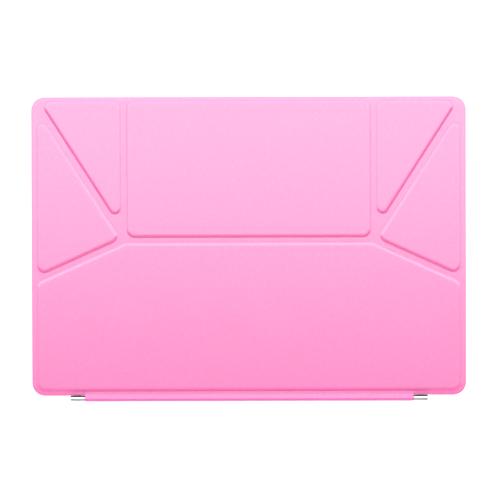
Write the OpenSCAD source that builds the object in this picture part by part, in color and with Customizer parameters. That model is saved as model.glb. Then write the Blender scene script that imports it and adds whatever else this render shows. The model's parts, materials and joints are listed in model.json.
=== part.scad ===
// Folding cover for a 10.1 inch tablet. Six stiff panels lie between a leather skin and a
// microfibre lining, and the creases between them fold the cover into a stand. A leather
// wrapped spine runs along the near edge. A bar turns inside it, with a sprung hook at each
// end that clips into the tablet.
// Frame: outer face up (+Z), spine at the near side (-Y), X along the spine, floor at Z = 0.

/* [Cover] */
// Width of the cover along the spine
cover_w = 263; // [250:1:275]
// Depth of the cover from the spine side to the far edge
cover_d = 181; // [172:1:190]
// Radius of the four outer corners
corner_r = 8; // [5:0.5:10]

/* [Creases] */
// Distance from the spine side edge to the main crease
main_crease_y = 94.25; // [90:0.25:98]
// Distance from the middle to each side crease
side_crease_x = 75.9; // [72:0.1:80]
// How far each slanting crease drops before it meets the side edge
slant_drop = 24.9; // [20:0.1:30]
// Half the gap between two stiff laminates at a crease
crease_gap = 1.1; // [1:0.05:1.3]

/* [Laminate] */
// Thickness of the leather skin
skin_t = 0.5; // [0.45:0.05:0.55]
// Thickness of the stiffener boards
board_t = 0.8; // [0.6:0.05:0.85]
// Thickness of the microfibre lining
lining_t = 0.4; // [0.35:0.05:0.45]
// Margin between the side edges and the raised panels
side_margin = 4.05; // [3.7:0.05:4.5]
// Margin between the far edge and the raised panels
far_margin = 4.2; // [3.8:0.1:4.6]
// Margin between the spine side edge and the raised main panel
near_margin = 3.65; // [3.4:0.05:4]

/* [Raised panels] */
// Distance from the main crease to the raised main panel
main_inset = 2.9; // [2.5:0.1:3.3]
// Distance from the slanting creases to the raised main panel
main_slant_inset = 3.4; // [3:0.1:3.8]
// Distance from the main crease to the raised top panel
top_inset = 2.5; // [2.4:0.1:2.9]
// Distance from the side creases to the raised top panel
top_side_inset = 2.8; // [2.4:0.1:3.2]
// Distance from the side crease to a raised upper triangle
upper_inset = 2.4; // [2:0.1:2.8]
// Distance from the corner crease to a raised upper triangle
upper_corner_inset = 3.3; // [2.9:0.1:3.7]
// Distance from the corner crease to a raised lower triangle
lower_corner_inset = 2.2; // [2:0.1:2.6]
// Distance from the slanting crease to a raised lower triangle
lower_inset = 2.1; // [1.9:0.1:2.5]
// Radius of a raised panel's square corners
panel_r = 4.6; // [4:0.1:5]

/* [Magnets] */
// Length of each closing magnet
closing_l = 20; // [15:1:25]
// Width of each closing magnet
closing_w = 5; // [4:0.5:6]
// Distance from the middle to the centre of each closing magnet
closing_x = 34; // [25:1:40]
// Radius of the wake magnet
wake_r = 4; // [3:0.5:5]
// Distance from the middle to the centre of the wake magnet
wake_x = 60; // [56:1:66]

/* [Spine] */
// Outer radius of the leather roll
roll_r = 1.75; // [1.7:0.01:1.8]
// Half the length of the leather roll
roll_half = 99.6; // [90:0.1:105]
// Distance from the cover's near edge forward to the roll's axis
roll_ahead = 1.6; // [1.55:0.01:1.7]
// Thickness of the thinned leather round the roll
roll_t = 0.3; // [0.25:0.01:0.32]

/* [Hooks] */
// Length of each hook barrel
barrel_l = 8.6; // [8:0.1:10]
// Radius of each hook barrel
barrel_r = 1.7; // [1.6:0.01:1.72]
// Outward travel of each hook against its spring
latch_travel = 1.5; // [1:0.1:2]
// Distance from the spine's axis to the tip of each tongue
tongue_l = 6.4; // [5.5:0.1:7]
// Thickness of each tongue
tongue_t = 0.7; // [0.6:0.05:0.75]
// Width of each tongue
tongue_w = 4.6; // [4:0.1:5]
// How far the barb stands out from the tongue
barb = 1.2; // [0.8:0.1:1.3]

/* [Hidden] */

leather = "hotpink";
suede = "lightpink";
fibre = "dimgray";
steel = "silver";
bronze = "goldenrod";
nylon = "black";

round_steps = 8;    // straight steps in a rounded corner of an outline
slack = 0.05;       // running clearance on a radius
over = 1;           // how far a cutting shape runs past what it cuts

// heights: the spine turns in the middle of the flat laminate, and every crease at its outer face
axis_z = roll_r;
under_z = axis_z - (skin_t + lining_t) / 2;
lining_top = under_z + lining_t;
margin_top = lining_top + skin_t;
board_top = lining_top + board_t;
panel_top = board_top + skin_t;

// plan: the origin is in the middle of the whole outline, the spine included
half_w = cover_w / 2;
far_y = (cover_d + roll_ahead + roll_r) / 2;
near_y = far_y - cover_d;
spine_y = near_y - roll_ahead;
vertex = [-side_crease_x, near_y + main_crease_y];
slant_y = vertex[1] - slant_drop;
magnet_y = far_y - 12;

// the cells that the creases cut the cover into, anticlockwise; the right-hand triangles
// are the left-hand ones mirrored
main_cell = [
    [-half_w, near_y], [half_w, near_y], [half_w, slant_y],
    [-vertex[0], vertex[1]], vertex, [-half_w, slant_y]
];
top_cell = [vertex, [-vertex[0], vertex[1]], [-vertex[0], far_y], [vertex[0], far_y]];
upper_cell = [vertex, [vertex[0], far_y], [-half_w, far_y]];
lower_cell = [vertex, [-half_w, far_y], [-half_w, slant_y]];

// how far the sheets and the raised panels stay inside each edge of their cell
main_sheet = [0, 0, crease_gap, crease_gap, crease_gap, 0];
top_sheet = [crease_gap, crease_gap, 0, crease_gap];
upper_sheet = [crease_gap, 0, crease_gap];
lower_sheet = [crease_gap, 0, crease_gap];
main_panel = [
    near_margin, side_margin, main_slant_inset, main_inset, main_slant_inset, side_margin
];
top_panel = [top_inset, top_side_inset, far_margin, top_side_inset];
upper_panel = [upper_inset, far_margin, upper_corner_inset];
lower_panel = [lower_corner_inset, side_margin, lower_inset];

// spine: roll, sleeve, bush and bar fit one inside the other
neck_back = 0.6;                // where the roll's neck meets the cover, behind its edge
sleeve_r = roll_r - roll_t;
bush_r = sleeve_r - 0.2;
bush_l = 3;
bar_r = 1.05;
bar_bore = 0.8;
bar_half = roll_half - 0.1;

// hooks
barrel_from = roll_half + 0.1;
barrel_to = barrel_from + barrel_l;
chamfer = 0.35;
tongue_from = barrel_from + 2.4;
tongue_z = axis_z - 1.35;       // underside of the tongue
tip_back = 1.1;                 // length of the slanting tip
barb_back = 2.3;                // distance from the tip to the barb's root
pad_from = 1.0;                 // flat back of the pad, behind the axis
notch_back = 0.5;               // how far the cover's edge is cut back beside each hook
notch_half = barrel_to + latch_travel + 0.5;

// shank: a square rod in a square hole, with a round head that the spring pushes inwards
collar_l = 2;
hole_w = 0.76;
shank_w = hole_w - 2 * slack;
head_l = 1;
spring_l = 7;
spring_turns = 6;
wire_r = 0.1;
coil_r = 0.62;
collar_from = bar_half - collar_l;
head_to = collar_from - spring_l;
head_from = head_to - head_l;

function unit(v) = v / norm(v);
function left_of(v) = [-v[1], v[0]];
function cross2(a, b) = a[0] * b[1] - a[1] * b[0];
// where the line through p along u crosses the line through q along v
function meet(p, u, q, v) = p + u * cross2(q - p, v) / cross2(u, v);
// a convex polygon with the edge from point i to point i + 1 moved inwards by gaps[i]
function inset(points, gaps) = let (n = len(points)) [
    for (i = [0:n - 1])
        let (
            before = (i + n - 1) % n,
            u = unit(points[i] - points[before]),
            v = unit(points[(i + 1) % n] - points[i])
        )
        meet(points[i] + left_of(u) * gaps[before], u, points[i] + left_of(v) * gaps[i], v)
];
// the radius of a corner: r where it is square or blunt, and less where it is sharp
function sharpened(r, turn) = r * pow(min(1, (180 - turn) / 90), 0.4);
// a convex polygon with its corners rounded, each to its radius less the wall
function rounded(points, r, wall = 0) = let (n = len(points)) [
    for (i = [0:n - 1])
        let (
            u = unit(points[i] - points[(i + n - 1) % n]),
            v = unit(points[(i + 1) % n] - points[i]),
            turn = atan2(cross2(u, v), u * v),
            radius = sharpened(r, turn) - wall,
            centre = points[i] - u * radius * tan(turn / 2) + left_of(u) * radius,
            start = atan2(-left_of(u)[1], -left_of(u)[0])
        )
        for (k = [0:round_steps])
            let (a = start + turn * k / round_steps)
            centre + radius * [cos(a), sin(a)]
];
outline = rounded([[-half_w, near_y], [half_w, near_y], [half_w, far_y], [-half_w, far_y]], corner_r);

// flat sheet over one cell, cut to the cover's outline
module sheet(cell, gaps, from_z, to_z) {
    translate([0, 0, from_z])
        linear_extrude(to_z - from_z)
            intersection() {
                polygon(inset(cell, gaps));
                polygon(outline);
            }
}
// prism of one raised panel, with every side moved inwards by a wall
module raised(cell, gaps, wall, from_z, to_z) {
    translate([0, 0, from_z])
        linear_extrude(to_z - from_z)
            polygon(rounded(inset(cell, [for (g = gaps) g + wall]), panel_r, wall));
}
// leather over one cell, pressed up round its board
module skin(cell, sheet_gaps, panel_gaps) {
    color(leather)
        difference() {
            union() {
                sheet(cell, sheet_gaps, lining_top, margin_top);
                raised(cell, panel_gaps, 0, lining_top, panel_top);
            }
            raised(cell, panel_gaps, skin_t, lining_top - over, board_top);
        }
}
module board(cell, panel_gaps) {
    color(fibre) raised(cell, panel_gaps, skin_t, lining_top, board_top);
}
module lining(cell, sheet_gaps) {
    color(suede) sheet(cell, sheet_gaps, under_z, lining_top);
}
// a bar across the cover's near edge, cut back to a depth behind it
module edge_cut(half, back) {
    translate([-half, near_y - over, 0])
        cube([2 * half, over + back, 2 * panel_top]);
}
// room for the roll's neck and for the hooks at the cover's near edge
module spine_cuts() {
    edge_cut(roll_half, neck_back);
    edge_cut(notch_half, notch_back);
}
// a cylinder along X on the spine's axis
module rod(r, from_x, to_x) {
    translate([from_x, spine_y, axis_z])
        rotate([0, 90, 0])
            cylinder(r = r, h = to_x - from_x, $fn = 48);
}
module tube(r, bore, from_x, to_x) {
    difference() {
        rod(r, from_x, to_x);
        rod(bore, from_x - over, to_x + over);
    }
}
// a square bar along X on the spine's axis
module square_rod(w, from_x, to_x) {
    translate([from_x, spine_y - w / 2, axis_z - w / 2])
        cube([to_x - from_x, w, w]);
}

module main_skin() {
    difference() {
        skin(main_cell, main_sheet, main_panel);
        spine_cuts();
    }
}
module main_lining() {
    difference() {
        lining(main_cell, main_sheet);
        spine_cuts();
    }
}
// leather rolled round the sleeve, with the flat neck that joins it to the cover
module spine_wrap() {
    color(leather)
        difference() {
            union() {
                rod(roll_r, -roll_half, roll_half);
                translate([-roll_half, spine_y, under_z])
                    cube([2 * roll_half, roll_ahead + neck_back, skin_t + lining_t]);
            }
            rod(sleeve_r, -roll_half - over, roll_half + over);
        }
}
module spine_sleeve() {
    color(steel) tube(sleeve_r, bush_r, -bar_half, bar_half);
}
// plain bearing pressed into the sleeve's right-hand end
module bush() {
    color(bronze) tube(bush_r, bar_r + slack, bar_half - bush_l, bar_half);
}

module magnet_bar() {
    translate([closing_x - closing_l / 2, magnet_y - closing_w / 2, lining_top])
        cube([closing_l, closing_w, board_t]);
}
module magnet_disc() {
    translate([wake_x, magnet_y, lining_top])
        cylinder(r = wake_r, h = board_t, $fn = 48);
}
module closing_magnet() {
    color(steel) magnet_bar();
}
module wake_magnet() {
    color(steel) magnet_disc();
}
module top_board() {
    difference() {
        board(top_cell, top_panel);
        magnet_disc();
        magnet_bar();
        mirror([1, 0, 0]) magnet_bar();
    }
}

// tube that turns in the bushes and carries the hooks
module hinge_bar() {
    color(steel) tube(bar_r, bar_bore, -bar_half, bar_half);
}
// plug in the bar's right-hand end, with a square hole that keeps the hook from turning
module collar() {
    color(bronze)
        difference() {
            rod(bar_bore, collar_from, bar_half);
            square_rod(hole_w, collar_from - over, bar_half + over);
        }
}
// flat tongue with a slanting tip and a barb towards the middle of the cover
module tongue() {
    translate([tongue_from, spine_y, tongue_z])
        linear_extrude(tongue_t)
            polygon([
                [0, 0], [tongue_w, 0], [tongue_w, tongue_l - tip_back / 2],
                [tongue_w - tip_back, tongue_l], [tip_back, tongue_l],
                [-barb, tongue_l - tip_back], [-barb, tongue_l - barb_back], [0, tongue_l - barb_back]
            ]);
}
// the tablet side of the barrel above the tongue, where the pad sits
module pad_space() {
    translate([barrel_from - over, spine_y + pad_from, tongue_z + tongue_t])
        cube([barrel_l + 2 * over, barrel_r, 2 * barrel_r]);
}
module barrel() {
    rod(barrel_r, barrel_from, barrel_to - chamfer);
    translate([barrel_to - chamfer, spine_y, axis_z])
        rotate([0, 90, 0])
            cylinder(r1 = barrel_r, r2 = barrel_r - chamfer, h = chamfer, $fn = 48);
}
// right-hand hook: barrel, tongue, square shank and round head in one piece
module hook() {
    color(steel)
        difference() {
            union() {
                barrel();
                tongue();
                square_rod(shank_w, head_from, barrel_from + chamfer);
                rod(bar_bore - slack, head_from, head_to);
            }
            pad_space();
        }
}
// soft pad on the side of the barrel that bears on the tablet
module hook_pad() {
    color(nylon)
        intersection() {
            barrel();
            pad_space();
        }
}
// round wire wound round the shank, from the head to the collar
module latch_spring() {
    steps = 10;
    sides = 5;
    rings = spring_turns * steps;
    points = [
        for (i = [0:rings])
            let (
                along = head_to + wire_r + (spring_l - 2 * wire_r) * i / rings,
                turn = 360 * i / steps
            )
            for (k = [0:sides - 1])
                let (out = coil_r + wire_r * cos(360 * k / sides))
                [
                    along + wire_r * sin(360 * k / sides),
                    spine_y + out * cos(turn),
                    axis_z + out * sin(turn)
                ]
    ];
    walls = [
        for (i = [0:rings - 1], k = [0:sides - 1])
            let (next = (k + 1) % sides, here = i * sides, beyond = here + sides)
            each [
                [here + k, beyond + k, here + next],
                [here + next, beyond + k, beyond + next]
            ]
    ];
    first = [for (k = [sides - 1:-1:0]) k];
    last = [for (k = [0:sides - 1]) rings * sides + k];
    color(steel) polyhedron(points, concat(walls, [first, last]));
}

main_skin();
board(main_cell, main_panel);  // main_board
main_lining();
spine_wrap();
spine_sleeve();
mirror([1, 0, 0]) bush();  // left_bush
bush();  // right_bush
skin(top_cell, top_sheet, top_panel);  // top_skin
top_board();
lining(top_cell, top_sheet);  // top_lining
wake_magnet();
mirror([1, 0, 0]) closing_magnet();  // left_closing_magnet
closing_magnet();  // right_closing_magnet
skin(upper_cell, upper_sheet, upper_panel);  // upper_left_skin
board(upper_cell, upper_panel);  // upper_left_board
lining(upper_cell, upper_sheet);  // upper_left_lining
skin(lower_cell, lower_sheet, lower_panel);  // lower_left_skin
board(lower_cell, lower_panel);  // lower_left_board
lining(lower_cell, lower_sheet);  // lower_left_lining
mirror([1, 0, 0]) skin(upper_cell, upper_sheet, upper_panel);  // upper_right_skin
mirror([1, 0, 0]) board(upper_cell, upper_panel);  // upper_right_board
mirror([1, 0, 0]) lining(upper_cell, upper_sheet);  // upper_right_lining
mirror([1, 0, 0]) skin(lower_cell, lower_sheet, lower_panel);  // lower_right_skin
mirror([1, 0, 0]) board(lower_cell, lower_panel);  // lower_right_board
mirror([1, 0, 0]) lining(lower_cell, lower_sheet);  // lower_right_lining
hinge_bar();
mirror([1, 0, 0]) collar();  // left_collar
collar();  // right_collar
mirror([1, 0, 0]) hook();  // left_hook
mirror([1, 0, 0]) hook_pad();  // left_hook_pad
mirror([1, 0, 0]) latch_spring();  // left_spring
hook();  // right_hook
hook_pad();  // right_hook_pad
latch_spring();  // right_spring
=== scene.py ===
import json
import math

import bmesh
import bpy
import numpy as np
from mathutils import Matrix, Vector, noise
from mathutils.geometry import delaunay_2d_cdt


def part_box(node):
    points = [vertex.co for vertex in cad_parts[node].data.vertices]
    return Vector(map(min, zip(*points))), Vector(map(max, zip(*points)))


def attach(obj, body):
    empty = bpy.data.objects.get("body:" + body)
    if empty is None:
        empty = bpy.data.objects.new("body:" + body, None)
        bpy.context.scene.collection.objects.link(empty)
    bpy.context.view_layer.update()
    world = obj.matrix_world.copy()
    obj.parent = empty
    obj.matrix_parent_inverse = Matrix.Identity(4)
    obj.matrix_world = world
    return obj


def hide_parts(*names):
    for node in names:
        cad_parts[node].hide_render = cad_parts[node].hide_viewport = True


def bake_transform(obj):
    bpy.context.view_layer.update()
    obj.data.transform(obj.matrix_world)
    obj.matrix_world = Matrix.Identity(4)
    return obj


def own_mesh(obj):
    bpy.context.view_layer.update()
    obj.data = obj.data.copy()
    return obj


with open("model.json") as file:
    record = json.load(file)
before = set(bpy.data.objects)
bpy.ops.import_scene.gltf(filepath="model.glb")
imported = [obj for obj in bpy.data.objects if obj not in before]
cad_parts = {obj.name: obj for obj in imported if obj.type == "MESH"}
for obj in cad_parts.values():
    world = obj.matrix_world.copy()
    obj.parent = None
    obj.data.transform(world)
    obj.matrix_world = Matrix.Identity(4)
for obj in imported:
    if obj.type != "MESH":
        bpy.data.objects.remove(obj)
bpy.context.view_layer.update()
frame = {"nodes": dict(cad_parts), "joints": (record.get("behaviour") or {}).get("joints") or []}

# Folding tablet cover, seen from its outer face. All sizes are in millimetres, and turn into
# metres where a mesh, a light or the camera is made. +Y is the far edge, and +Z the outer face.
MM = 0.001


# ---------------------------------------------------------------- places from the frame

def box(node):
    """(lowest corner, highest corner) of a CAD node in millimetres."""
    low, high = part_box(node)
    return low / MM, high / MM


def joint_row(name):
    return next(row for row in frame["joints"] if row["name"] == name)


def joint(name):
    """(a point on the joint's axis, the axis) in millimetres."""
    row = joint_row(name)
    return Vector(row["pos_m"]) / MM, Vector(row["axis"])


LINING_LOW, LINING_HIGH = box("main_lining")
HALF_W = LINING_HIGH.x
NEAR_Y = LINING_LOW.y
FAR_Y = box("top_lining")[1].y
UNDER_Z = LINING_LOW.z              # inner face of the cover
LINING_Z = LINING_HIGH.z            # where the lining meets the leather
MARGIN_Z = joint("stand_fold")[0].z  # outer face of the leather between the panels
BOARD_Z = box("main_board")[1].z
PANEL_Z = box("main_skin")[1].z     # outer face of the leather over the boards
VERTEX = np.array(joint("upper_left_fold")[0].xy)
SLANT = -np.array(joint("lower_left_fold")[1].xy)   # along the slanting crease, to the side edge
SPINE_Y = joint("hook_swivel")[0].y
SPINE_Z = joint("hook_swivel")[0].z
ROLL_HALF = box("spine_wrap")[1].x
ROLL_R = box("spine_wrap")[1].z - SPINE_Z
SLEEVE_R = box("spine_sleeve")[1].z - SPINE_Z

# ---------------------------------------------------------------- sizes of the soft parts

CORNER_R = 8.0          # outer corners of the cover
LEAST_R = 0.05          # least radius of a corner that is moved inwards
PANEL_R = 4.6           # square corners of a raised panel
PANEL_SHARP = 0.25      # power by which a sharper corner gets a smaller radius
STRIP = 1.05            # half the width of the strip that bends along a crease
SLIT = 0.01             # half the slit along the corner crease, where two triangles meet

# from each crease or edge to the foot of a raised panel's shoulder
MAIN_FOOT = {"near": 2.8, "side": 3.4, "slant": 1.7, "main": 1.3}
TOP_FOOT = {"main": 1.5, "side": 2.1, "far": 2.2}
UPPER_FOOT = {"side": 1.6, "far": 2.2, "corner": 2.5}
LOWER_FOOT = {"corner": 1.0, "side": 3.4, "slant": 1.3}

SHOULDER_W = 2.2        # from the foot of a shoulder to the flat of its panel
SHOULDER_POWER = 3.2    # how soon a shoulder flattens out
UNDER_W = 1.6           # from the foot to where the leather lies on its board
RIM_R = 0.4             # rounding of the leather along the cover's edge
DROOP_W = 3.2           # the margin droops towards the cover's edge, over this width
DROOP_H = 0.1           # and by this much
DROOP_POWER = 1.5       # how much of the droop lies close to the edge
WAVE_H = 0.02           # how much the leather swells and sinks over a board
WAVE_SCALE = 0.035      # swells in a millimetre
WAVE_SLICE = 7.0        # where the swells are cut from their noise
WAVE_EDGE = 8.0         # the swells grow to their full height over this width
LINING_RIM_R = 0.2
GROOVE_W = 1.7          # half the width of the groove that a crease presses into the lining
GROOVE_D = 0.12

NECK_BACK = 1.45        # where the spine's neck meets the cover, behind its near edge
NECK_SIDE = 2.0         # how far from that edge the rims stay square beside the neck
EDGE_BACK = 0.2         # how far the near edge lies behind the frame's, outside the spine
HOOK_BACK = 0.3         # and beside each hook
NOTCH_HALF = 109.9      # where the edge steps from the one to the other, from the middle
NOTCH_SOFT = 0.8        # length of that step
NOTCH_BAND = 2.5        # how far from the near edge the cut draws points along

RIM_RUB_W = 1.6         # width of the rubbed band along the cover's edge
BEND_RUB = 0.6          # how much a shoulder's upper bend is rubbed, beside the edge
BEND_AT = 1.2           # where that bend is, from the shoulder's foot
BEND_W = 0.7            # and how wide

# steps of the meshes, and rings of points inside the cover's edge and inside a shoulder's foot
EDGE_STEP = 2.5         # longest step along a straight edge
FINE_STEP = 0.25        # longest step across a crease
FLAT_STEP = 5.0         # grid over the flat of a panel
TINY_STEP = 0.001       # between the two points at a sudden step in the edge
RIM_RINGS = (0.03, 0.09, 0.18, 0.3, 0.4, 0.7, 1.0)
SHOULDER_RINGS = (-0.3, -0.1, 0.0, 0.08, 0.18, 0.3, 0.45, 0.65, 0.9, 1.2, 1.55, 1.95, 2.4, 3.0)
FAR_AWAY = 1000.0       # longer than any crease


# ---------------------------------------------------------------- plan geometry

def left_of(v):
    return np.array([-v[1], v[0]])


def unit(v):
    return v / np.linalg.norm(v)


def cross(a, b):
    return a[0] * b[1] - a[1] * b[0]


def meet(p, u, q, v):
    """Where the line through p along u crosses the line through q along v."""
    return p + u * cross(q - p, v) / cross(u, v)


def inset(corners, gaps):
    """A convex outline with the edge from corner i to corner i + 1 moved inwards by gaps[i]."""
    n = len(corners)
    moved = []
    for i in range(n):
        u = unit(corners[i] - corners[i - 1])
        v = unit(corners[(i + 1) % n] - corners[i])
        moved.append(meet(corners[i] + left_of(u) * gaps[i - 1], u, corners[i] + left_of(v) * gaps[i], v))
    return moved


class Outline:
    """A convex anticlockwise outline with rounded corners."""

    def __init__(self, corners, radius, sharp=0.0):
        self.corners = [np.array(c, float) for c in corners]
        n = len(self.corners)
        self.along = [unit(self.corners[(i + 1) % n] - self.corners[i]) for i in range(n)]
        self.radii, self.centres, self.turns = [], [], []
        for i in range(n):
            u, v = self.along[i - 1], self.along[i]
            turn = math.atan2(cross(u, v), u @ v)
            r = radius * min(1.0, (math.pi - turn) / (math.pi / 2)) ** sharp
            self.radii.append(r)
            self.turns.append(turn)
            self.centres.append(self.corners[i] + r * (left_of(u) - u * math.tan(turn / 2)))

    def path(self, wall=0.0, steps=14):
        """Points round the outline moved inwards by wall."""
        points = []
        for r, centre, turn, u in zip(self.radii, self.centres, self.turns, self.along[-1:] + self.along):
            start = math.atan2(-left_of(u)[1], -left_of(u)[0])
            for k in range(steps + 1):
                a = start + turn * k / steps
                points.append(centre + max(r - wall, LEAST_R) * np.array([math.cos(a), math.sin(a)]))
        return points

    def depth(self, xy):
        """How far inside the outline each point is, and negative outside."""
        edges = [(xy - c) @ left_of(u) for c, u in zip(self.corners, self.along)]
        found = np.min(edges, axis=0)
        for i, (r, centre) in enumerate(zip(self.radii, self.centres)):
            away = xy - centre
            past = (away @ self.along[i - 1] > 0) & (away @ self.along[i] < 0)
            found = np.where(past, r - np.linalg.norm(away, axis=1), found)
        return found


def clip(points, planes):
    """A convex polygon cut to the left of each line (point, direction, gap)."""
    for p, u, gap in planes:
        base = p + left_of(u) * gap
        kept = []
        for i, here in enumerate(points):
            before = points[i - 1]
            d_here, d_before = cross(u, here - base), cross(u, before - base)
            if (d_here > 0) != (d_before > 0):
                kept.append(before + (here - before) * d_before / (d_before - d_here))
            if d_here > 0:
                kept.append(here)
        points = kept
    return points


def clip_line(p, q, planes):
    """The stretch from p to q to the left of each line, or nothing."""
    for point, u, gap in planes:
        base = point + left_of(u) * gap
        dp, dq = cross(u, p - base), cross(u, q - base)
        if dp <= 0 and dq <= 0:
            return []
        if dp < 0:
            p = p + (q - p) * dp / (dp - dq)
        elif dq < 0:
            q = q + (p - q) * dq / (dq - dp)
    return [p, q]


def divide(points, step, closed=True):
    """The same line with no step longer than step."""
    made = []
    pairs = zip(points, points[1:] + points[:1] if closed else points[1:])
    for p, q in pairs:
        n = max(1, math.ceil(np.linalg.norm(q - p) / step - 1e-6))
        made += [p + (q - p) * k / n for k in range(n)]
    return made if closed else made + [points[-1]]


def smooth(t):
    t = np.clip(t, 0.0, 1.0)
    return t * t * (3 - 2 * t)


# ---------------------------------------------------------------- plan of the cover

def flip(p):
    return np.array([-p[0], p[1]])


SIDE_END = VERTEX + SLANT * (VERTEX[0] + HALF_W) / -SLANT[0]
CORNER = np.array([-HALF_W, FAR_Y])
CORNER_WAY = unit(CORNER - VERTEX)
NEAR_LEFT = np.array([-HALF_W, NEAR_Y])
FAR_SIDE = np.array([VERTEX[0], FAR_Y])
EAST, NORTH = np.array([1.0, 0.0]), np.array([0.0, 1.0])

COVER = Outline([NEAR_LEFT, flip(NEAR_LEFT), flip(CORNER), CORNER], CORNER_R)

# where the bending strips of two creases meet, as directions from the vertex
TOP_MITRE = unit(EAST + NORTH)
MAIN_MITRE = unit(EAST + unit(SLANT))


def foot(corners, gaps, edges):
    """The outline of a shoulder's foot. The edge from corner i to corner i + 1 is edges[i]."""
    return Outline(inset(corners, [gaps[edge] for edge in edges]), PANEL_R, PANEL_SHARP)


FEET = {
    "main": foot(
        [NEAR_LEFT, flip(NEAR_LEFT), flip(SIDE_END), flip(VERTEX), VERTEX, SIDE_END],
        MAIN_FOOT, ("near", "side", "slant", "main", "slant", "side"),
    ),
    "top": foot(
        [VERTEX, flip(VERTEX), flip(FAR_SIDE), FAR_SIDE],
        TOP_FOOT, ("main", "side", "far", "side"),
    ),
    "upper": foot([VERTEX, FAR_SIDE, CORNER], UPPER_FOOT, ("side", "far", "corner")),
    "lower": foot([VERTEX, CORNER, SIDE_END], LOWER_FOOT, ("corner", "side", "slant")),
}

# each piece of leather as what lies to the left of these lines: (point, direction, gap)
MAIN_LINE = (VERTEX, EAST)
SIDE_LINE = (VERTEX, NORTH)
SLANT_LINE = (VERTEX, unit(SLANT))
CORNER_LINE = (VERTEX, CORNER_WAY)


def plane(line, gap=0.0, back=False, mirrored=False):
    """What lies left of a line, by gap or more, or right of the line where back is set."""
    point, way = line
    if mirrored:
        point, way, back = flip(point), flip(way), not back
    return point, (-way if back else way), gap


PLATES = {
    "main": [
        plane(MAIN_LINE, STRIP, back=True),
        plane(SLANT_LINE, STRIP),
        plane(SLANT_LINE, STRIP, mirrored=True),
    ],
    "top": [
        plane(MAIN_LINE, STRIP),
        plane(SIDE_LINE, STRIP, back=True),
        plane(SIDE_LINE, STRIP, back=True, mirrored=True),
    ],
    "upper": [plane(SIDE_LINE, STRIP), plane(CORNER_LINE, SLIT, back=True)],
    "lower": [plane(CORNER_LINE, SLIT), plane(SLANT_LINE, STRIP, back=True)],
}
CREASES = {
    "main": (MAIN_LINE, [
        plane((VERTEX, TOP_MITRE), back=True),
        plane((VERTEX, MAIN_MITRE)),
        plane((VERTEX, TOP_MITRE), back=True, mirrored=True),
        plane((VERTEX, MAIN_MITRE), mirrored=True),
    ]),
    "side": (SIDE_LINE, [
        plane((VERTEX, TOP_MITRE)),
        plane(CORNER_LINE, SLIT, back=True),
    ]),
    "slant": (SLANT_LINE, [
        plane(CORNER_LINE, SLIT),
        plane((VERTEX, MAIN_MITRE), back=True),
    ]),
}


# ---------------------------------------------------------------- heights over the plan

def shoulder(depth):
    """Rise of the leather from 0 at a shoulder's foot to 1 on the flat: steep, then ever softer."""
    t = np.clip(depth / SHOULDER_W, 0.0, 1.0)
    return 1 - (1 - t) ** SHOULDER_POWER


def rounding(depth, radius):
    """How far a rounded edge of this radius has dropped, a given distance inside it."""
    short = np.clip(radius - depth, 0.0, radius)
    return radius - np.sqrt(np.maximum(radius ** 2 - short ** 2, 0.0))


def beside_roll(xy):
    """1 along the stretch of the near edge that runs into the spine's neck, and 0 elsewhere."""
    return ((np.abs(xy[:, 0]) < ROLL_HALF) & (xy[:, 1] < NEAR_Y + NECK_SIDE)).astype(float)


def waves(xy):
    return np.array([
        noise.noise(Vector((x * WAVE_SCALE, y * WAVE_SCALE, WAVE_SLICE)))
        for x, y in xy
    ])


def depth_in(panel, xy):
    """How far inside the foot of a panel's shoulder each point is. A strip has no panel."""
    return panel.depth(xy) if panel else np.full(len(xy), -1.0)


def leather_top(xy, panel):
    edge = COVER.depth(xy)
    droop = DROOP_H * np.clip(1 - edge / DROOP_W, 0, 1) ** DROOP_POWER
    rim = (rounding(edge, RIM_R) + droop) * (1 - beside_roll(xy))
    depth = depth_in(panel, xy)
    swell = waves(xy) * WAVE_H * smooth((depth - SHOULDER_W) / WAVE_EDGE)
    return MARGIN_Z - rim + (PANEL_Z - MARGIN_Z) * shoulder(depth) + swell


def leather_under(xy, panel):
    """The flesh side: a skin's thickness below the outer face, and level over the board."""
    depth = depth_in(panel, xy)
    hung = (PANEL_Z - MARGIN_Z) * shoulder(depth) + LINING_Z
    return np.where(depth > UNDER_W, BOARD_Z, np.minimum(hung, BOARD_Z))


def crease_distance(xy):
    """Distance to the nearest crease, with the left and right halves alike."""
    half = np.column_stack([-np.abs(xy[:, 0]), xy[:, 1]])
    away = half - VERTEX
    across = []
    creases = ((EAST, -VERTEX[0]), (NORTH, FAR_AWAY), (SLANT, FAR_AWAY), (CORNER_WAY, FAR_AWAY))
    for way, reach in creases:
        along = np.clip(away @ unit(way), 0, reach)
        across.append(np.linalg.norm(away - along[:, None] * unit(way), axis=1))
    return np.min(across, axis=0)


def lining_under(xy, panel):
    rim = rounding(COVER.depth(xy), LINING_RIM_R) * (1 - beside_roll(xy))
    return UNDER_Z + rim + GROOVE_D * (1 - smooth(crease_distance(xy) / GROOVE_W))


def lining_top(xy, panel):
    return np.full(len(xy), LINING_Z)


# ---------------------------------------------------------------- meshes

def notched(xy):
    """The near edge is cut back beside the spine. Points close to it are pushed in to match."""
    x = np.abs(xy[:, 0])
    cut = HOOK_BACK + (EDGE_BACK - HOOK_BACK) * smooth((x - NOTCH_HALF) / NOTCH_SOFT)
    cut = np.where(x < ROLL_HALF, NECK_BACK, cut)
    near = 1 - smooth((xy[:, 1] - NEAR_Y) / NOTCH_BAND)
    return np.column_stack([xy[:, 0], xy[:, 1] + cut * near])


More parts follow.
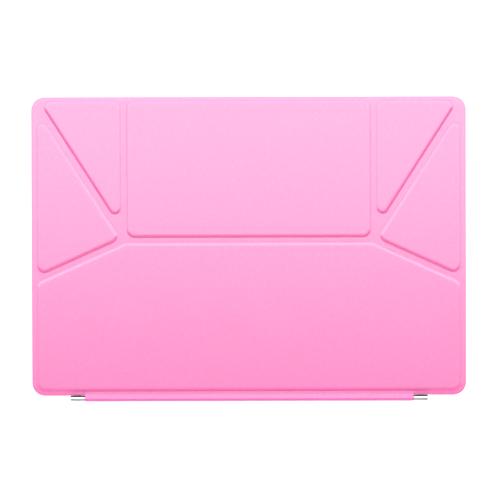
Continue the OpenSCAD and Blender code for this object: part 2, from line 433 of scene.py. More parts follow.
def triangulate(region, lines, points):
    """Triangles over a closed outline that keep the edges of the lines. A line is (points, closed)."""
    coords = [Vector(p) for p in region]
    edges = []
    for line, closed in lines:
        first = len(coords)
        coords += [Vector(p) for p in line]
        n = len(line)
        edges += [(first + k, first + (k + 1) % n) for k in range(n if closed else n - 1)]
    coords += [Vector(p) for p in points]
    made = delaunay_2d_cdt(coords, edges, [list(range(len(region)))], 1, 1e-4)
    return np.array([v[:] for v in made[0]]), [tuple(f) for f in made[2]]


def new_object(name, verts, faces, materials, indices=None, sharp=50):
    """A smooth-shaded mesh object, from points in millimetres."""
    mesh = bpy.data.meshes.new(name)
    mesh.from_pydata([tuple(Vector(v) * MM) for v in verts], [], faces)
    for material in materials:
        mesh.materials.append(material)
    if indices is not None:
        mesh.polygons.foreach_set("material_index", indices)
    mesh.polygons.foreach_set("use_smooth", [True] * len(mesh.polygons))
    mesh.validate()
    mesh.set_sharp_from_angle(angle=math.radians(sharp))
    obj = bpy.data.objects.new(name, mesh)
    bpy.context.scene.collection.objects.link(obj)
    return obj


def give(obj, name, values):
    """A number at each point of the mesh, for its material."""
    attribute = obj.data.attributes.new(name, "FLOAT", "POINT")
    attribute.data.foreach_set("value", np.asarray(values, np.float32))


def sheet(name, region, lines, points, panel, top, under, materials, mirrored):
    """A closed sheet over a region of the plan, between two heights, with its own look at the edge."""
    xy, faces = triangulate(region, lines, points)
    high, low = top(xy, panel), under(xy, panel)
    at_edge = COVER.depth(xy) < RIM_RINGS[0] / 3
    rub = rub_of(xy, panel)
    plan = notched(xy)
    if mirrored:
        plan[:, 0] *= -1
        faces = [f[::-1] for f in faces]
    n = len(xy)
    verts = np.vstack([np.column_stack([plan, high]), np.column_stack([plan, low])])
    walls = set()
    for face in faces:
        for k in range(3):
            i, j = face[k], face[(k + 1) % 3]
            if (j, i) in walls:
                walls.remove((j, i))
            else:
                walls.add((i, j))
    walls = sorted(walls)
    solid = faces + [tuple(k + n for k in f[::-1]) for f in faces]
    indices = [0] * len(solid)
    for i, j in walls:
        solid.append((i + n, j + n, j, i))
        indices.append(1 if at_edge[i] and at_edge[j] else 0)
    obj = new_object(name, verts, solid, materials, indices)
    give(obj, "rub", np.concatenate([rub, rub]))
    return obj


def rub_of(xy, panel):
    """Where hands and bags rub the leather: the cover's edge and the shoulders' upper bends."""
    rim = 1 - smooth(COVER.depth(xy) / RIM_RUB_W)
    bend = BEND_RUB * np.exp(-((depth_in(panel, xy) - BEND_AT) / BEND_W) ** 2)
    return np.maximum(rim, bend)


def near_stations():
    """Where the near edge needs points: both sides of each step in its cut."""
    soft = [NOTCH_HALF + NOTCH_SOFT * k / 5 for k in range(6)]
    return [ROLL_HALF - TINY_STEP, ROLL_HALF + TINY_STEP, *soft]


def with_stations(line, y):
    """Adds the stations to the points of a line that runs along the near edge at y."""
    made = []
    for p, q in zip(line, line[1:] + line[:1]):
        made.append(p)
        if abs(p[1] - y) < 1e-6 and abs(q[1] - y) < 1e-6:
            inside = sorted(s * x for x in near_stations() for s in (-1, 1))
            made += [np.array([x, y]) for x in inside if p[0] + TINY_STEP < x < q[0] - TINY_STEP]
    return made


def plate(name, kind, top, under, materials, mirrored=False):
    """The sheet over one stiff panel of the cover."""
    planes, panel = PLATES[kind], FEET[kind]
    region = with_stations(divide(clip(COVER.path(), planes), EDGE_STEP), NEAR_Y)
    lines = []
    for wall in RIM_RINGS:
        line = divide(clip(COVER.path(wall), planes), EDGE_STEP)
        lines.append((with_stations(line, NEAR_Y + wall), True))
    lines += [(divide(panel.path(wall), EDGE_STEP), True) for wall in SHOULDER_RINGS]
    low, high = np.min(region, axis=0), np.max(region, axis=0)
    grid = np.array([
        (x, y)
        for x in np.arange(low[0], high[0], FLAT_STEP)
        for y in np.arange(low[1], high[1], FLAT_STEP)
    ])
    flat = grid[panel.depth(grid) > SHOULDER_RINGS[-1] + FLAT_STEP / 3]
    return sheet(name, region, lines, flat, panel, top, under, materials, mirrored)


def strip(name, kind, top, under, materials, mirrored=False):
    """The sheet along one crease, with close rows of points across it."""
    (point, way), ends = CREASES[kind]
    planes = [(point, way, -STRIP), (point, -way, -STRIP), *ends]
    region = divide(clip(COVER.corners, planes), EDGE_STEP)
    region = [
        q
        for p, after in zip(region, region[1:] + region[:1])
        for q in divide([p, after], step_along(p, after, way), closed=False)[:-1]
    ]
    lines = [(divide(clip(COVER.path(wall), planes), EDGE_STEP), True) for wall in RIM_RINGS]
    sides = [(c, u, 0.0) for c, u in zip(COVER.corners, COVER.along)]
    rows = round(2 * STRIP / FINE_STEP)
    for k in range(1, rows):
        base = point + left_of(way) * STRIP * (2 * k / rows - 1)
        row = clip_line(base - way * FAR_AWAY, base + way * FAR_AWAY, ends + sides)
        lines.append((divide(row, EDGE_STEP, closed=False), False))
    return sheet(name, region, lines, [], None, top, under, materials, mirrored)


def step_along(p, q, way):
    """A long step along a crease, and a short one across it."""
    across = abs(cross(way, unit(q - p))) > 0.1
    return FINE_STEP if across else EDGE_STEP


# ---------------------------------------------------------------- node materials

class Nodes:
    """Short names for the node work that the materials share."""

    def __init__(self, name):
        self.material = bpy.data.materials.new(name)
        self.material.use_nodes = True
        self.tree = self.material.node_tree
        self.bsdf = self.tree.nodes["Principled BSDF"]
        self.where = self.tree.nodes.new("ShaderNodeTexCoord").outputs["Object"]

    def add(self, kind, **inputs):
        node = self.tree.nodes.new("ShaderNode" + kind)
        for key, value in inputs.items():
            self.put(node.inputs[key.replace("_", " ")], value)
        return node

    def put(self, socket, value):
        if isinstance(value, bpy.types.NodeSocket):
            self.tree.links.new(value, socket)
        else:
            socket.default_value = value

    def noise(self, size, detail=3.0, rough=0.55, stretch=(1, 1, 1)):
        """Soft noise with features of about size millimetres."""
        place = self.add("Mapping", Vector=self.where, Scale=stretch)
        scale = 1 / (size * MM)
        node = self.add("TexNoise", Vector=place.outputs[0], Scale=scale, Detail=detail, Roughness=rough)
        return node.outputs["Fac"]

    def cells(self, size, feature="F1"):
        """Distance inside cells of about size millimetres."""
        node = self.add("TexVoronoi", Vector=self.where, Scale=1 / (size * MM))
        node.feature = feature
        return node.outputs["Distance"]

    def attribute(self, name):
        node = self.add("Attribute")
        node.attribute_name = name
        return node.outputs["Fac"]

    def span(self, value, low, high, to_low=0.0, to_high=1.0):
        names = {"From_Min": low, "From_Max": high, "To_Min": to_low, "To_Max": to_high}
        return self.add("MapRange", Value=value, **names).outputs[0]

    def facing(self):
        """0 where the surface faces the eye, and 1 where it is seen edge on."""
        return self.add("LayerWeight", Blend=0.5).outputs["Facing"]

    def maths(self, operation, a, b):
        node = self.tree.nodes.new("ShaderNodeMath")
        node.operation = operation
        self.put(node.inputs[0], a)
        self.put(node.inputs[1], b)
        return node.outputs[0]

    def blend(self, share, a, b):
        node = self.tree.nodes.new("ShaderNodeMix")
        node.data_type = "RGBA"
        self.put(node.inputs[0], share)
        self.put(node.inputs[6], a)
        self.put(node.inputs[7], b)
        return node.outputs[2]

    def bump(self, height, depth, normal=None):
        """Bump of a height from 0 to 1 that is depth millimetres deep."""
        node = self.add("Bump", Height=height, Distance=depth * MM, Strength=1.0)
        if normal:
            self.put(node.inputs["Normal"], normal)
        return node.outputs[0]

    def finish(self, **inputs):
        for key, value in inputs.items():
            self.put(self.bsdf.inputs[key.replace("_", " ")], value)
        return self.material


def rgb(red, green, blue):
    """A colour from 0-255 sRGB values."""
    def linear(c):
        c /= 255
        return c / 12.92 if c <= 0.04045 else ((c + 0.055) / 1.055) ** 2.4
    return (linear(red), linear(green), linear(blue), 1.0)


def leather_material():
    """Pink leather with fine pores and small creases, paler where it is rubbed."""
    n = Nodes("pink_leather")
    pores = n.cells(0.75, "SMOOTH_F1")
    creased = n.noise(0.5, 4, 0.6)
    cloud = n.noise(38, 3)
    grain = n.maths("ADD", n.maths("MULTIPLY", pores, 0.7), n.maths("MULTIPLY", creased, 0.5))
    base = n.blend(cloud, rgb(233, 107, 170), rgb(237, 112, 175))
    pored = n.blend(n.span(grain, 0.35, 0.75), rgb(229, 100, 165), base)
    patchy = n.span(creased, 0.35, 0.7, 0.02, 0.15)
    worn = n.blend(n.maths("MULTIPLY", n.attribute("rub"), patchy), pored, rgb(240, 150, 200))
    pebble = n.bump(n.noise(5, 2), 0.01)
    # the grain hides the gloss where the leather is seen at a low angle
    facing = n.span(n.facing(), 0.1, 0.6, 1.0, 0.2)
    gloss = n.maths("MULTIPLY", facing, n.maths("SUBTRACT", 1.0, n.attribute("dull")))
    return n.finish(
        Base_Color=worn,
        Roughness=n.span(n.noise(3, 3), 0.3, 0.7, 0.46, 0.52),
        Normal=n.bump(grain, 0.012, pebble),
        Specular_IOR_Level=0.12, Coat_Weight=gloss, Coat_Roughness=0.2, Coat_IOR=2.3,
    )


def edge_material():
    """Painted cut edge: smoother and a little darker, with the layers just showing."""
    n = Nodes("painted_edge")
    layers = n.noise(0.18, 2, 0.5, stretch=(0.08, 0.08, 1))
    return n.finish(
        Base_Color=n.blend(layers, rgb(220, 92, 158), rgb(238, 120, 180)),
        Roughness=n.span(layers, 0.3, 0.7, 0.4, 0.55),
        Normal=n.bump(layers, 0.03),
        Specular_IOR_Level=0.5,
    )


def microfibre_material():
    """Brushed microfibre, whose nap lies one way here and another way there."""
    n = Nodes("pink_microfibre")
    nap = n.noise(0.22, 4, 0.7)
    stroke = n.noise(9, 3, stretch=(1, 0.35, 1))
    patch = n.noise(45, 2)
    base = n.blend(n.span(stroke, 0.35, 0.65), rgb(206, 108, 153), rgb(219, 128, 170))
    brushed = n.blend(n.span(patch, 0.35, 0.65, 0.0, 0.4), base, rgb(198, 98, 144))
    fibres = n.blend(n.span(nap, 0.35, 0.7), brushed, rgb(230, 150, 188))
    return n.finish(
        Base_Color=fibres, Roughness=n.span(nap, 0.3, 0.7, 0.85, 0.97),
        Normal=n.bump(nap, 0.06, n.bump(stroke, 0.05)),
        Specular_IOR_Level=0.15, Sheen_Weight=0.2, Sheen_Roughness=0.5,
    )


def metal_material(name, dark, light, rough, brush=(1, 1, 1), size=0.6, depth=0.004):
    """Metal with fine tool marks, smudges and a few hairline scratches."""
    n = Nodes(name)
    marks = n.noise(size, 4, 0.65, stretch=brush)
    smudge = n.span(n.noise(4, 3), 0.3, 0.7, rough * 0.8, rough * 1.25)
    scratch = n.span(n.noise(1.4, 2, 0.4, stretch=(0.12, 1.4, 1.4)), 0.66, 0.72)
    return n.finish(
        Base_Color=n.blend(marks, dark, light), Metallic=1.0,
        Roughness=n.maths("ADD", smudge, n.maths("MULTIPLY", scratch, 0.12)),
        Normal=n.bump(n.maths("SUBTRACT", marks, n.maths("MULTIPLY", scratch, 0.3)), depth),
    )


def board_material():
    """Grey fibreboard with pale flecks."""
    n = Nodes("grey_fibreboard")
    fibres = n.noise(0.5, 5, 0.7, stretch=(0.25, 1, 2.5))
    flecks = n.cells(1.3)
    base = n.blend(fibres, rgb(92, 88, 84), rgb(142, 138, 132))
    return n.finish(
        Base_Color=n.blend(n.span(flecks, 0.12, 0.3, 0.5, 0.0), base, rgb(176, 170, 160)),
        Roughness=n.span(fibres, 0.3, 0.7, 0.8, 0.95), Normal=n.bump(fibres, 0.04), Specular_IOR_Level=0.25,
    )


def nylon_painted_shadow_material():
    """Black moulded nylon with fine spark-eroded texture, kept near-black and almost glossless as painted
    shadow for the dark gap between the leather's edge and the barrel.
    """
    n = Nodes("black_nylon_painted_shadow")
    texture = n.noise(0.12, 4, 0.7)
    haze = n.noise(1.8, 2)
    # near-black: partly the nylon's own black, partly painted shadow for the gap beside the leather
    return n.finish(
        Base_Color=n.blend(n.span(texture, 0.35, 0.65), rgb(5, 3, 5), rgb(14, 11, 14)),
        Roughness=n.span(haze, 0.3, 0.7, 0.5, 0.66), Normal=n.bump(texture, 0.012), Specular_IOR_Level=0.05,
    )


FLOOR_GLOW = 0.45       # light of its own, which keeps the floor as white as the photograph's


def floor_material():
    n = Nodes("studio_floor")
    return n.finish(
        Base_Color=n.blend(n.noise(220, 2), (0.93, 0.93, 0.93, 1), (0.96, 0.96, 0.96, 1)),
        Roughness=0.9, Specular_IOR_Level=0.1,
        Emission_Color=(1, 1, 1, 1), Emission_Strength=FLOOR_GLOW,
    )


LEATHER = leather_material()
EDGE = edge_material()
MICROFIBRE = microfibre_material()
HOOK_STEEL = metal_material("satin_steel", rgb(214, 216, 215), rgb(236, 238, 237), 0.5)
TUBE_STEEL = metal_material(
    "drawn_steel", rgb(150, 152, 155), rgb(198, 200, 202), 0.34, brush=(0.06, 1, 1), size=0.3, depth=0.006
)
SPRING_STEEL = metal_material("spring_wire", rgb(128, 130, 134), rgb(176, 178, 182), 0.3, size=0.2)
BRONZE = metal_material(
    "sintered_bronze", rgb(146, 104, 52), rgb(205, 160, 96), 0.42, size=0.16, depth=0.012
)
MAGNET = metal_material("nickel_plate", rgb(176, 174, 168), rgb(214, 212, 206), 0.16, size=1.2)
BOARD = board_material()
NYLON_PAINTED_SHADOW = nylon_painted_shadow_material()


# ---------------------------------------------------------------- leather and lining

PANELS = {
    "main": [("main_panel", "main", False)],
    "top": [("top_panel", "top", False)],
    "upper": [("upper_left_panel", "upper_left", False), ("upper_right_panel", "upper_right", True)],
    "lower": [("lower_left_panel", "lower_left", False), ("lower_right_panel", "lower_right", True)],
}
FOLDS = {
    "main": [("stand_crease", "main_panel", "top_panel", False)],
    "side": [
        ("upper_left_crease", "top_panel", "upper_left_panel", False),
        ("upper_right_crease", "top_panel", "upper_right_panel", True),
    ],
    "slant": [
        ("lower_left_crease", "main_panel", "lower_left_panel", False),
        ("lower_right_crease", "main_panel", "lower_right_panel", True),
    ],
}
# the side of each crease, seen along its direction, on which its first body lies
FIRST_SIDE = {"main": -1, "side": -1, "slant": 1}
# slot, upper and lower heights, and materials of the faces and of the cover's edge
LAYERS = {
    "skin": ("leather", leather_top, leather_under, [LEATHER, EDGE]),
    "lining": ("lining", lining_top, lining_under, [MICROFIBRE, MICROFIBRE]),
}


def make_panels(layer):
    slot, top, under, materials = LAYERS[layer]
    for kind, pieces in PANELS.items():
        for body, node, mirrored in pieces:
            obj = plate(f"soft_{node}_{layer}", kind, top, under, materials, mirrored)
            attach(obj, body)
            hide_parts(f"{node}_{layer}")


def make_creases(layer):
    slot, top, under, materials = LAYERS[layer]
    for kind, pieces in FOLDS.items():
        point, way = CREASES[kind][0]
        across = left_of(way) * STRIP * FIRST_SIDE[kind]
        for name, first, second, mirrored in pieces:
            obj = strip(f"{name}_{layer}", kind, top, under, materials, mirrored)
            start, end = point + across, point - across
            if mirrored:
                start, end = flip(start), flip(end)
            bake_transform(obj)


# ---------------------------------------------------------------- spine

ROLL_END = 1.3          # length over which the roll's ends round off
ROLL_END_R = 0.22       # how much thinner the leather is at the very end
ROLL_WAVE = 0.018       # unevenness of leather wrapped by hand
WAVE_ALONG = 0.16       # waves in a millimetre of the roll's length
WAVE_ROUND = 2          # and how fine they are round it
NECK_FILLET = 1.6       # radius where the roll runs into the flat leather
NECK_FLAT = 0.3         # length of the flat where the neck meets the cover
NECK_GAP = 0.05         # least step from there into the fillet
NECK_THIN = 0.4         # share of the thinning at the roll's ends that reaches the neck
ROLL_STEP = 1.6         # longest step of the mesh along the roll
ROLL_STEPS = 44         # steps round it, in a fillet, in a rounded end and round the bore
FILLET_STEPS = 10
END_STEPS = 6
BORE_STEPS = 40
ROLL_RUB = 0.25         # wear of the roll, which hands turn
ROLL_DULL = 0.45        # how much less the thinned, stretched leather shines


def roll_section(shrink, x):
    """The wrapped leather across the spine, from the neck's top, over the roll, to its underside."""
    neck_y = NEAR_Y + NECK_BACK - SPINE_Y
    flat_y = neck_y - NECK_FLAT
    high = MARGIN_Z - SPINE_Z - shrink * NECK_THIN
    low = UNDER_Z - SPINE_Z + shrink * NECK_THIN
    r = ROLL_R - shrink

    def fillet(level, sense):
        """Arc that touches the flat at level and the roll's circle, and the direction where it ends."""
        cz = level + sense * NECK_FILLET
        cy = math.sqrt((r + NECK_FILLET) ** 2 - cz ** 2)
        end = math.atan2(cz, cy)
        flat = -sense * math.pi / 2
        turn = (end + math.pi - flat + math.pi) % (2 * math.pi) - math.pi
        angles = [flat + turn * k / FILLET_STEPS for k in range(FILLET_STEPS + 1)]
        points = [(cy + NECK_FILLET * math.cos(a), cz + NECK_FILLET * math.sin(a)) for a in angles]
        return [p for p in points if p[0] < flat_y - NECK_GAP], end

    upper, start = fillet(high, 1)
    lower, stop = fillet(low, -1)
    sweep = 2 * math.pi + stop - start
    round_roll = []
    for k in range(1, ROLL_STEPS):
        a = start + sweep * k / ROLL_STEPS
        place = Vector((x * WAVE_ALONG, WAVE_ROUND * math.cos(a), WAVE_ROUND * math.sin(a)))
        wave = ROLL_WAVE * noise.noise(place)
        round_roll.append(((r + wave) * math.cos(a), (r + wave) * math.sin(a)))
    return [
        (neck_y, high), (flat_y, high), *upper, *round_roll, *reversed(lower), (flat_y, low), (neck_y, low),
    ]


def arc(r, start, stop, steps):
    angles = [start + (stop - start) * k / steps for k in range(steps + 1)]
    return [(r * math.cos(a), r * math.sin(a)) for a in angles]


def wall_faces(rings, n):
    """Faces between rings of n points. They face out where the rings turn right-handed about the wall."""
    return [
        (i * n + k, i * n + (k + 1) % n, (i + 1) * n + (k + 1) % n, (i + 1) * n + k)
        for i in range(rings - 1)
        for k in range(n)
    ]


def end_faces(rings, n):
    """The two faces that close such a wall."""
    return [tuple(reversed(range(n))), tuple(range((rings - 1) * n, rings * n))]


def loft(stations, sections):
    """Points and wall faces of a skin through sections that stand across X."""
    verts = [
        (x, SPINE_Y + y, SPINE_Z + z)
        for x, section in zip(stations, sections)
        for y, z in section
    ]
    return verts, wall_faces(len(stations), len(sections[0]))


def make_roll():
    """Leather wrapped round the spine's tube, with its neck and its bore."""
    quarter = [math.pi / 2 * k / END_STEPS for k in range(END_STEPS + 1)]
    ends = [ROLL_HALF - ROLL_END * (1 - math.sin(a)) for a in quarter]
    inner = list(np.linspace(-ends[0], ends[0], round(2 * ends[0] / ROLL_STEP)))
    stations = [-x for x in reversed(ends)] + inner[1:-1] + ends

    def shrink(x):
        past = max(0.0, abs(x) - (ROLL_HALF - ROLL_END)) / ROLL_END
        return ROLL_END_R * (1 - math.sqrt(max(0.0, 1 - past ** 2)))

    outer, outer_faces = loft(stations, [roll_section(shrink(x), x) for x in stations])
    bore, bore_faces = loft(stations, [arc(SLEEVE_R, 0, 2 * math.pi, BORE_STEPS)[:-1]] * len(stations))
    verts = outer + bore
    faces = outer_faces + [tuple(k + len(outer) for k in reversed(f)) for f in bore_faces]
    m, n = len(outer) // len(stations), len(bore) // len(stations)
    for at, facing_back in ((0, True), (len(stations) - 1, False)):
        ring = list(range(at * m, (at + 1) * m))
        hole = [len(outer) + k for k in range(at * n, (at + 1) * n)]
        faces += annulus_faces(verts, ring, hole, facing_back)
    obj = new_object("spine_roll", verts, faces, [LEATHER], sharp=60)
    give(obj, "rub", np.full(len(verts), ROLL_RUB))
    give(obj, "dull", np.full(len(verts), ROLL_DULL))
    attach(obj, "main_panel")
    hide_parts("spine_wrap")


def annulus_faces(verts, ring, hole, facing_back):
    """Triangles across X between the roll's outline and its bore."""
    index = ring + hole
    m, n = len(ring), len(hole)
    flat = [Vector(verts[k][1:]) for k in index]
    edges = [(k, (k + 1) % m) for k in range(m)] + [(m + k, m + (k + 1) % n) for k in range(n)]
    points, _, triangles, sources, _, _ = delaunay_2d_cdt(flat, edges, [], 0, 1e-6)
    faces = []
    for triangle in triangles:
        middle = sum((points[k] for k in triangle), Vector((0, 0))) / 3
        in_bore = (middle - Vector((SPINE_Y, SPINE_Z))).length < SLEEVE_R * 0.999
        if inside_ring(middle, flat[:m]) and not in_bore:
            face = tuple(index[sources[k][0]] for k in triangle)
            faces.append(face[::-1] if facing_back else face)
    return faces


def inside_ring(p, ring):
    """Whether a point is inside a ring: a ray from it crosses the ring an odd number of times."""
    odd = False
    for a, b in zip(ring, ring[1:] + ring[:1]):
        if (a.y > p.y) != (b.y > p.y) and p.x < a.x + (p.y - a.y) * (b.x - a.x) / (b.y - a.y):
            odd = not odd
    return odd


# ---------------------------------------------------------------- hooks

PAD_LOW, PAD_HIGH = box("right_hook_pad")
HOOK_LOW, HOOK_HIGH = box("right_hook")
BARREL_FROM, BARREL_TO = PAD_LOW.x, PAD_HIGH.x
BARREL_R = PAD_HIGH.y - SPINE_Y
PAD_BACK = PAD_LOW.y - SPINE_Y      # flat back of the pad, from the axis
PAD_FLOOR = PAD_LOW.z - SPINE_Z     # top of the tongue, from the axis
TONGUE_T = 0.7
TONGUE_W = 4.6
TONGUE_FROM = BARREL_FROM + 2.4
BARB = 1.2              # how far the barb stands out of the tongue's side
TIP_BACK = 1.1          # the tongue's tip narrows over this length
BARB_BACK = 2.3         # from the tip to the barb's shoulder
CHAMFER = 0.35          # of the barrel's outer end
SHANK_W = 0.66          # the square shank that slides in the collar
HEAD_L = 1.0            # the round head that the spring pushes on
HEAD_R = 0.75
BREAK = 0.09            # broken edges of the steel
PAD_BREAK = 0.16        # softer edges of the nylon
STEEL_STEPS, PAD_STEPS, HEAD_STEPS = 40, 14, 32     # steps of the mesh round each


def prism_x(name, section, from_x, to_x):
    """A closed section across X, given about the spine's axis and anticlockwise seen from +X."""
    verts, faces = loft([from_x, to_x], [section, section])
    return new_object(name, verts, faces + end_faces(2, len(section)), [])


def prism_z(name, plan, from_z, to_z):
    """A closed plan outline, anticlockwise, between two heights."""
    n = len(plan)
    verts = [(x, y, z) for z in (from_z, to_z) for x, y in plan]
    return new_object(name, verts, wall_faces(2, n) + end_faces(2, n), [])


def break_edges(obj, width, angle=25):
    modifier = obj.modifiers.new("break", "BEVEL")
    modifier.width = width * MM
    modifier.segments = 3
    modifier.limit_method = "ANGLE"
    modifier.angle_limit = math.radians(angle)
    apply_modifiers(obj)


def apply_modifiers(obj):
    graph = bpy.context.evaluated_depsgraph_get()
    mesh = bpy.data.meshes.new_from_object(obj.evaluated_get(graph))
    obj.modifiers.clear()
    old, obj.data = obj.data, mesh
    bpy.data.meshes.remove(old)
    mesh.name = obj.name


def join_solids(base, others):
    for other in others:
        modifier = base.modifiers.new("union", "BOOLEAN")
        modifier.operation = "UNION"
        modifier.solver = "EXACT"
        modifier.object = other
        apply_modifiers(base)
        bpy.data.objects.remove(other)


def chamfer(obj, x, amount):
    """Draws the round part of a section in towards the axis where it ends at x."""
    for v in obj.data.vertices:
        y, z = v.co.y / MM - SPINE_Y, v.co.z / MM - SPINE_Z
        if abs(v.co.x / MM - x) < TINY_STEP and math.hypot(y, z) > BARREL_R * 0.99:
            v.co.y = (SPINE_Y + y * (1 - amount / BARREL_R)) * MM
            v.co.z = (SPINE_Z + z * (1 - amount / BARREL_R)) * MM


def make_barrel(name, section):
    """A section along the barrel, with its broken inner edge and its chamfered outer one."""
    stations = [BARREL_FROM, BARREL_FROM + BREAK, BARREL_TO - CHAMFER, BARREL_TO]
    verts, faces = loft(stations, [section] * len(stations))
    obj = new_object(name, verts, faces + end_faces(len(stations), len(section)), [])
    chamfer(obj, BARREL_FROM, BREAK)
    chamfer(obj, BARREL_TO, CHAMFER)
    return obj


def hook_sections():
    """The steel and the nylon across the barrel: a disc, shared out at the pad's back and floor."""
    top = math.acos(PAD_BACK / BARREL_R)
    side = math.asin(PAD_FLOOR / BARREL_R)
    steel = arc(BARREL_R, top, 2 * math.pi + side, STEEL_STEPS) + [(PAD_BACK, PAD_FLOOR)]
    pad = arc(BARREL_R, side, top, PAD_STEPS) + [(PAD_BACK, PAD_FLOOR)]
    return steel, pad


def clean_mesh(obj):
    """Merges what a union left double, and shades the mesh smooth between its sharp edges."""
    work = bmesh.new()
    work.from_mesh(obj.data)
    bmesh.ops.remove_doubles(work, verts=work.verts, dist=0.002 * MM)
    bmesh.ops.dissolve_degenerate(work, edges=work.edges, dist=0.002 * MM)
    bmesh.ops.recalc_face_normals(work, faces=work.faces)
    for face in work.faces:
        face.smooth = True
    work.to_mesh(obj.data)
    work.free()
    obj.data.set_sharp_from_angle(angle=math.radians(35))


def make_hook(side, body):
    """A steel hook and its nylon pad, modelled on the right-hand side and mirrored for the left."""
    steel_section, pad_section = hook_sections()
    hook = make_barrel(f"{side}_latch_hook", steel_section)
    tip = HOOK_HIGH.y
    low_z = PAD_LOW.z - TONGUE_T
    plan = [
        (TONGUE_FROM, SPINE_Y), (TONGUE_FROM + TONGUE_W, SPINE_Y),
        (TONGUE_FROM + TONGUE_W, tip - TIP_BACK / 2), (TONGUE_FROM + TONGUE_W - TIP_BACK, tip),
        (TONGUE_FROM + TIP_BACK, tip), (TONGUE_FROM - BARB, tip - TIP_BACK),
        (TONGUE_FROM - BARB, tip - BARB_BACK), (TONGUE_FROM, tip - BARB_BACK),
    ]
    tongue = prism_z("tongue", plan, low_z, PAD_LOW.z)
    break_edges(tongue, BREAK)
    half = SHANK_W / 2
    square = [(-half, -half), (half, -half), (half, half), (-half, half)]
    shank = prism_x("shank", square, HOOK_LOW.x + HEAD_L / 2, BARREL_FROM + 2 * CHAMFER)
    circle = arc(HEAD_R, 0, 2 * math.pi, HEAD_STEPS)[:-1]
    head = prism_x("head", circle, HOOK_LOW.x, HOOK_LOW.x + HEAD_L)
    break_edges(head, BREAK)
    join_solids(hook, [tongue, shank, head])
    # the pad's black is partly painted shadow, standing for the dark gap under the leather's edge
    pad = make_barrel(f"{side}_latch_pad_painted_shadow", pad_section)
    break_edges(pad, PAD_BREAK, angle=50)
    for obj, material, node, slot in (
        (hook, HOOK_STEEL, f"{side}_hook", "hook_steel"),
        (pad, NYLON_PAINTED_SHADOW, f"{side}_hook_pad", "nylon"),
    ):
        if side == "left":
            obj.data.transform(Matrix.Scale(-1, 4, (1, 0, 0)))
            obj.data.flip_normals()
        clean_mesh(obj)
        obj.data.materials.clear()
        obj.data.materials.append(material)
        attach(obj, body)
        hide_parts(node)


# ---------------------------------------------------------------- springs

HEAD_FACE = HOOK_LOW.x + HEAD_L             # the spring pushes on the hook's head
COLLAR_FACE = box("right_collar")[0].x      # and on the collar, which stays with the bar
WIRE_R = 0.1
COIL_R = box("right_spring")[1].y - SPINE_Y - WIRE_R    # from the axis to the middle of the wire
TURNS = 6
DEAD_PITCH = 2.6 * WIRE_R                   # of the closed turn at each end
TURN_STEPS = 24
WIRE_SIDES = 8


def make_spring(side, body):
    """Round wire in open turns, with a closed turn at each end."""
    turn = np.linspace(0, TURNS, TURNS * TURN_STEPS + 1)
    dead = np.minimum(turn, 1) + np.maximum(turn - TURNS + 1, 0)    # closed turns so far
    length = COLLAR_FACE - HEAD_FACE
    pitch = (length - 2 * WIRE_R - 2 * DEAD_PITCH) / (TURNS - 2)
    along = HEAD_FACE + WIRE_R + dead * DEAD_PITCH + (turn - dead) * pitch
    angle = 2 * math.pi * turn
    none = np.zeros(len(turn))
    out = np.column_stack([none, np.cos(angle), np.sin(angle)])
    middle = np.column_stack([along, none, none]) + COIL_R * out + [0, SPINE_Y, SPINE_Z]
    way = np.gradient(middle, axis=0)
    over = np.cross(way / np.linalg.norm(way, axis=1)[:, None], out)
    rounds = [2 * math.pi * k / WIRE_SIDES for k in range(WIRE_SIDES)]
    rings = [middle + WIRE_R * (math.cos(a) * out + math.sin(a) * over) for a in rounds]
    verts = np.stack(rings, axis=1).reshape(-1, 3)
    verts[:, 0] = np.clip(verts[:, 0], HEAD_FACE, COLLAR_FACE)
    faces = wall_faces(len(turn), WIRE_SIDES) + end_faces(len(turn), WIRE_SIDES)
    if side == "left":
        verts[:, 0] *= -1
        faces = [f[::-1] for f in faces]
    obj = new_object(f"{side}_latch_spring", verts, faces, [SPRING_STEEL])
    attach(obj, body)
    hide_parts(f"{side}_spring")
    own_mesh(obj)


# ---------------------------------------------------------------- pieces that stay as the frame has them

CAD_MATERIALS = {
    "main_board": BOARD, "top_board": BOARD,
    "upper_left_board": BOARD, "upper_right_board": BOARD,
    "lower_left_board": BOARD, "lower_right_board": BOARD,
    "wake_magnet": MAGNET, "left_closing_magnet": MAGNET, "right_closing_magnet": MAGNET,
    "spine_sleeve": TUBE_STEEL, "hinge_bar": TUBE_STEEL,
    "left_bush": BRONZE, "right_bush": BRONZE, "left_collar": BRONZE, "right_collar": BRONZE,
}


def paint_frame():
    for node, material in CAD_MATERIALS.items():
        obj = frame["nodes"][node]
        for held in obj.material_slots:
            held.material = material


# ---------------------------------------------------------------- studio

VIEW_W = 302.7          # width of the view where the cover lies
VIEW_X = 0.7            # middle of the view
VIEW_UP = 88.2          # from the cover's near edge to the middle of the view
VIEW_TILT = 0.8         # degrees that the camera leans beyond upright, towards the far edge
VIEW_ROLL = 0.16        # degrees that the cover's right-hand side is turned up in the view
CAMERA_H = 1200.0       # from the cover to the camera
SENSOR = 36.0           # width of its sensor
CLIP_M = (0.05, 40.0)   # nearest and farthest that it sees, in metres

DOME_TOP = 2.57         # brightness of the studio dome overhead
DOME_DIM = 0.2          # and on the near side
DOME_EDGE = (-0.12, 0.06)   # where the dim side ends, as the Y of a direction
DOME_FAR = (0.12, 0.5)  # and where the light falls off towards the far side
DOME_FALL = 0.16        # share of the light that is lost there
LOW_LIGHT = 17.0        # power of the low light on the near side
LOW_LIGHT_AT_M = (0, -1.6, 0.3)
LOW_LIGHT_SIZE_M = (1.6, 0.4)
FLOOR_HALF_M = 14.0     # half the floor's side


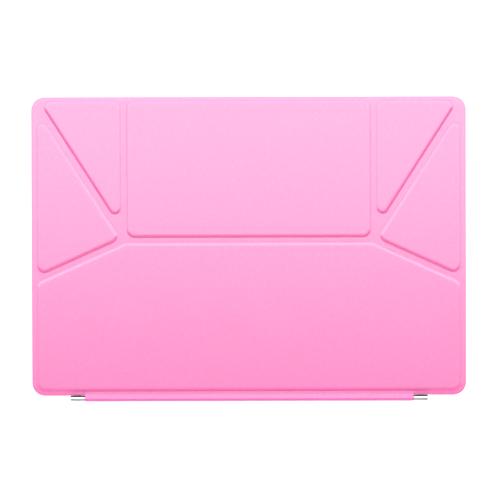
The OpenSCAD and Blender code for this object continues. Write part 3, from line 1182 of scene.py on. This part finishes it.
def make_camera():
    data = bpy.data.cameras.new("camera")
    data.sensor_width = SENSOR
    data.lens = SENSOR * CAMERA_H / VIEW_W
    data.clip_start, data.clip_end = CLIP_M
    camera = bpy.data.objects.new("camera", data)
    tilt = Matrix.Rotation(-math.radians(VIEW_TILT), 4, "X")
    turn = tilt @ Matrix.Rotation(-math.radians(VIEW_ROLL), 4, "Z")
    middle = Vector((VIEW_X, NEAR_Y + VIEW_UP, MARGIN_Z))
    camera.matrix_world = Matrix.Translation((middle + turn @ Vector((0, 0, CAMERA_H))) * MM) @ turn
    bpy.context.scene.collection.objects.link(camera)
    bpy.context.scene.camera = camera


def make_low_light():
    """A soft light low on the near side, facing the object."""
    data = bpy.data.lights.new("low_light", "AREA")
    data.shape = "RECTANGLE"
    data.size, data.size_y = LOW_LIGHT_SIZE_M
    data.energy = LOW_LIGHT
    light = bpy.data.objects.new("low_light", data)
    light.location = LOW_LIGHT_AT_M
    light.rotation_euler = (Vector() - Vector(LOW_LIGHT_AT_M)).to_track_quat("-Z", "Y").to_euler()
    light.visible_glossy = False
    bpy.context.scene.collection.objects.link(light)


def half_dome():
    """A white studio dome, bright overhead and dim on the near side."""
    world = bpy.data.worlds.new("studio")
    world.use_nodes = True
    tree = world.node_tree
    way = tree.nodes.new("ShaderNodeSeparateXYZ")
    tree.links.new(tree.nodes.new("ShaderNodeTexCoord").outputs["Generated"], way.inputs[0])

    def span(ends, low, high, kind):
        """Brightness that goes from low to high as a direction's Y goes between the ends."""
        node = tree.nodes.new("ShaderNodeMapRange")
        node.interpolation_type = kind
        tree.links.new(way.outputs["Y"], node.inputs["Value"])
        node.inputs["From Min"].default_value, node.inputs["From Max"].default_value = ends
        node.inputs["To Min"].default_value = low
        if isinstance(high, float):
            node.inputs["To Max"].default_value = high
        else:
            tree.links.new(high, node.inputs["To Max"])
        return node.outputs[0]

    bright = span(DOME_FAR, DOME_TOP, DOME_TOP * (1 - DOME_FALL), "LINEAR")
    background = tree.nodes["Background"].inputs
    background["Color"].default_value = (1, 1, 1, 1)
    tree.links.new(span(DOME_EDGE, DOME_DIM, bright, "SMOOTHSTEP"), background["Strength"])
    return world


def make_floor():
    corners = [(x * FLOOR_HALF_M, y * FLOOR_HALF_M, 0) for x, y in ((-1, -1), (1, -1), (1, 1), (-1, 1))]
    mesh = bpy.data.meshes.new("floor")
    mesh.from_pydata(corners, [], [(0, 1, 2, 3)])
    mesh.materials.append(floor_material())
    floor = bpy.data.objects.new("floor", mesh)
    bpy.context.scene.collection.objects.link(floor)


for layer in ("skin", "lining"):
    make_panels(layer)
    make_creases(layer)
make_roll()
make_hook("left", "left_latch")
make_hook("right", "right_latch")
make_spring("left", "left_latch")
make_spring("right", "right_latch")
paint_frame()

make_camera()
make_low_light()
make_floor()
bpy.context.scene.world = half_dome()
bpy.context.scene.view_settings.view_transform = "Standard"
